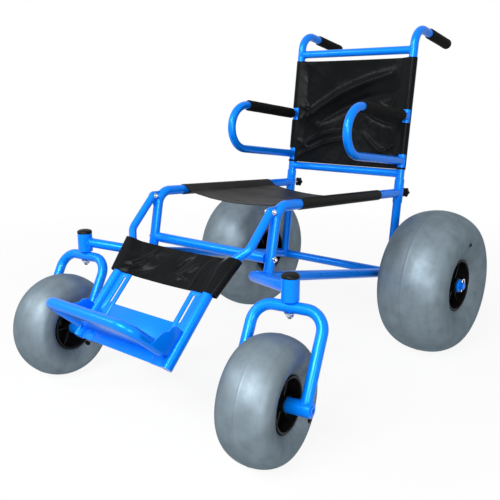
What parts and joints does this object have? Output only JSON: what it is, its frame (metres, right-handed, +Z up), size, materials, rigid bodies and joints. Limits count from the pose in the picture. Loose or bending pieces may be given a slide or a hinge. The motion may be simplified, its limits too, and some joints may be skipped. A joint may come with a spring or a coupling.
{
  "type": "beach wheelchair",
  "caption": "Beach wheelchair with balloon tyres, swivelling front casters, sling seat, lift-out back with push handles and armrests, and a hinged leg rest with sliding footplate.",
  "frame": {"origin": "on the ground, at the bottom centre of the bounding box; the chair's middle plane lies 13.5 mm to -X of it because the two casters stand turned", "axes": "+Z up, -Y the way the chair faces, +X towards the occupant's left"},
  "size_m": [1.0723, 1.5268, 1.1047],
  "materials": {
    "blue_paint": "bright azure gloss powder coat",
    "black_vinyl": "black coated sling fabric with a soft sheen",
    "black_foam": "matt black foam sleeve",
    "black_plastic": "moulded black plastic, satin",
    "grey_tyre": "grey semi-gloss polyurethane balloon tyre",
    "steel": "bright zinc-plated steel"
  },
  "bodies": {
    "frame": {"side_rail_L": "blue_paint", "side_rail_R": "blue_paint", "lower_rail_L": "blue_paint", "lower_rail_R": "blue_paint", "outrigger_L": "blue_paint", "outrigger_R": "blue_paint", "head_tube_L": "blue_paint", "head_tube_R": "blue_paint", "head_cap_L": "black_plastic", "head_cap_R": "black_plastic", "cross_bolt_L": "steel", "cross_bolt_R": "steel", "back_post_L": "blue_paint", "back_post_R": "blue_paint", "hinge_bracket_L": "blue_paint", "hinge_bracket_R": "blue_paint", "axle_collar_L": "blue_paint", "axle_collar_R": "blue_paint", "snap_pin_L": "steel", "snap_pin_R": "steel", "front_cross_tube": "blue_paint", "rear_axle_tube": "blue_paint", "seat_sling": "black_vinyl"},
    "backrest": {"back_tube_L": "blue_paint", "back_tube_R": "blue_paint", "push_grip_L": "black_foam", "push_grip_R": "black_foam", "armrest_L": "blue_paint", "armrest_R": "blue_paint", "arm_pad_L": "black_foam", "arm_pad_R": "black_foam", "top_crossbar": "blue_paint", "lower_crossbar": "blue_paint", "back_sling": "black_vinyl"},
    "leg_rest": {"hanger_tube_L": "blue_paint", "hanger_tube_R": "blue_paint", "hinge_bolt_L": "steel", "hinge_bolt_R": "steel", "calf_strap": "black_vinyl"},
    "footplate": {"hanger_sleeve_L": "blue_paint", "hanger_sleeve_R": "blue_paint", "footplate_tray": "blue_paint"},
    "knob_L": {"clamp_knob_L": "black_plastic"},
    "caster_L": {"fork_L": "blue_paint", "kingpin_L": "steel", "front_axle_L": "steel"},
    "front_wheel_L": {"front_tyre_L": "grey_tyre", "front_hub_L": "black_plastic"},
    "rear_wheel_L": {"rear_tyre_L": "grey_tyre", "rear_hub_L": "black_plastic"},
    "knob_R": {"clamp_knob_R": "black_plastic"},
    "caster_R": {"fork_R": "blue_paint", "kingpin_R": "steel", "front_axle_R": "steel"},
    "front_wheel_R": {"front_tyre_R": "grey_tyre", "front_hub_R": "black_plastic"},
    "rear_wheel_R": {"rear_tyre_R": "grey_tyre", "rear_hub_R": "black_plastic"}
  },
  "joints": [
    {"name": "backrest_lift", "type": "slide", "parent": "frame", "child": "backrest", "axis": [0, 0.1219, 0.9925], "range_m": [0, 0.06]},
    {"name": "leg_rest_swing", "type": "hinge", "parent": "frame", "child": "leg_rest", "pos_m": [-0.0135, -0.2962, 0.55996], "axis": [-1, 0, 0], "range_deg": [0, 46]},
    {"name": "footplate_adjust", "type": "slide", "parent": "leg_rest", "child": "footplate", "axis": [0, -0.6947, -0.7193], "range_m": [0, 0.05]},
    {"name": "knob_turn_L", "type": "hinge", "parent": "frame", "child": "knob_L", "pos_m": [0.2235, 0.43526, 0.53383], "axis": [0, 0.9925, -0.1219], "range_deg": [0, 360]},
    {"name": "caster_swivel_L", "type": "hinge", "parent": "frame", "child": "caster_L", "pos_m": [0.3985, -0.4382, 0], "axis": [0, 0, 1], "continuous": true},
    {"name": "front_wheel_spin_L", "type": "hinge", "parent": "caster_L", "child": "front_wheel_L", "pos_m": [0.41743, -0.54554, 0.161], "axis": [0.9848, 0.1736, 0], "continuous": true},
    {"name": "rear_wheel_spin_L", "type": "hinge", "parent": "frame", "child": "rear_wheel_L", "pos_m": [0.3925, 0.3998, 0.245], "axis": [1, 0, 0], "continuous": true},
    {"name": "knob_turn_R", "type": "hinge", "parent": "frame", "child": "knob_R", "pos_m": [-0.2505, 0.43526, 0.53383], "axis": [0, 0.9925, -0.1219], "range_deg": [0, 360]},
    {"name": "caster_swivel_R", "type": "hinge", "parent": "frame", "child": "caster_R", "pos_m": [-0.4255, -0.4382, 0], "axis": [0, 0, 1], "continuous": true},
    {"name": "front_wheel_spin_R", "type": "hinge", "parent": "caster_R", "child": "front_wheel_R", "pos_m": [-0.416, -0.54678, 0.161], "axis": [0.9962, 0.0872, 0], "continuous": true},
    {"name": "rear_wheel_spin_R", "type": "hinge", "parent": "frame", "child": "rear_wheel_R", "pos_m": [-0.4195, 0.3998, 0.245], "axis": [1, 0, 0], "continuous": true}
  ]
}
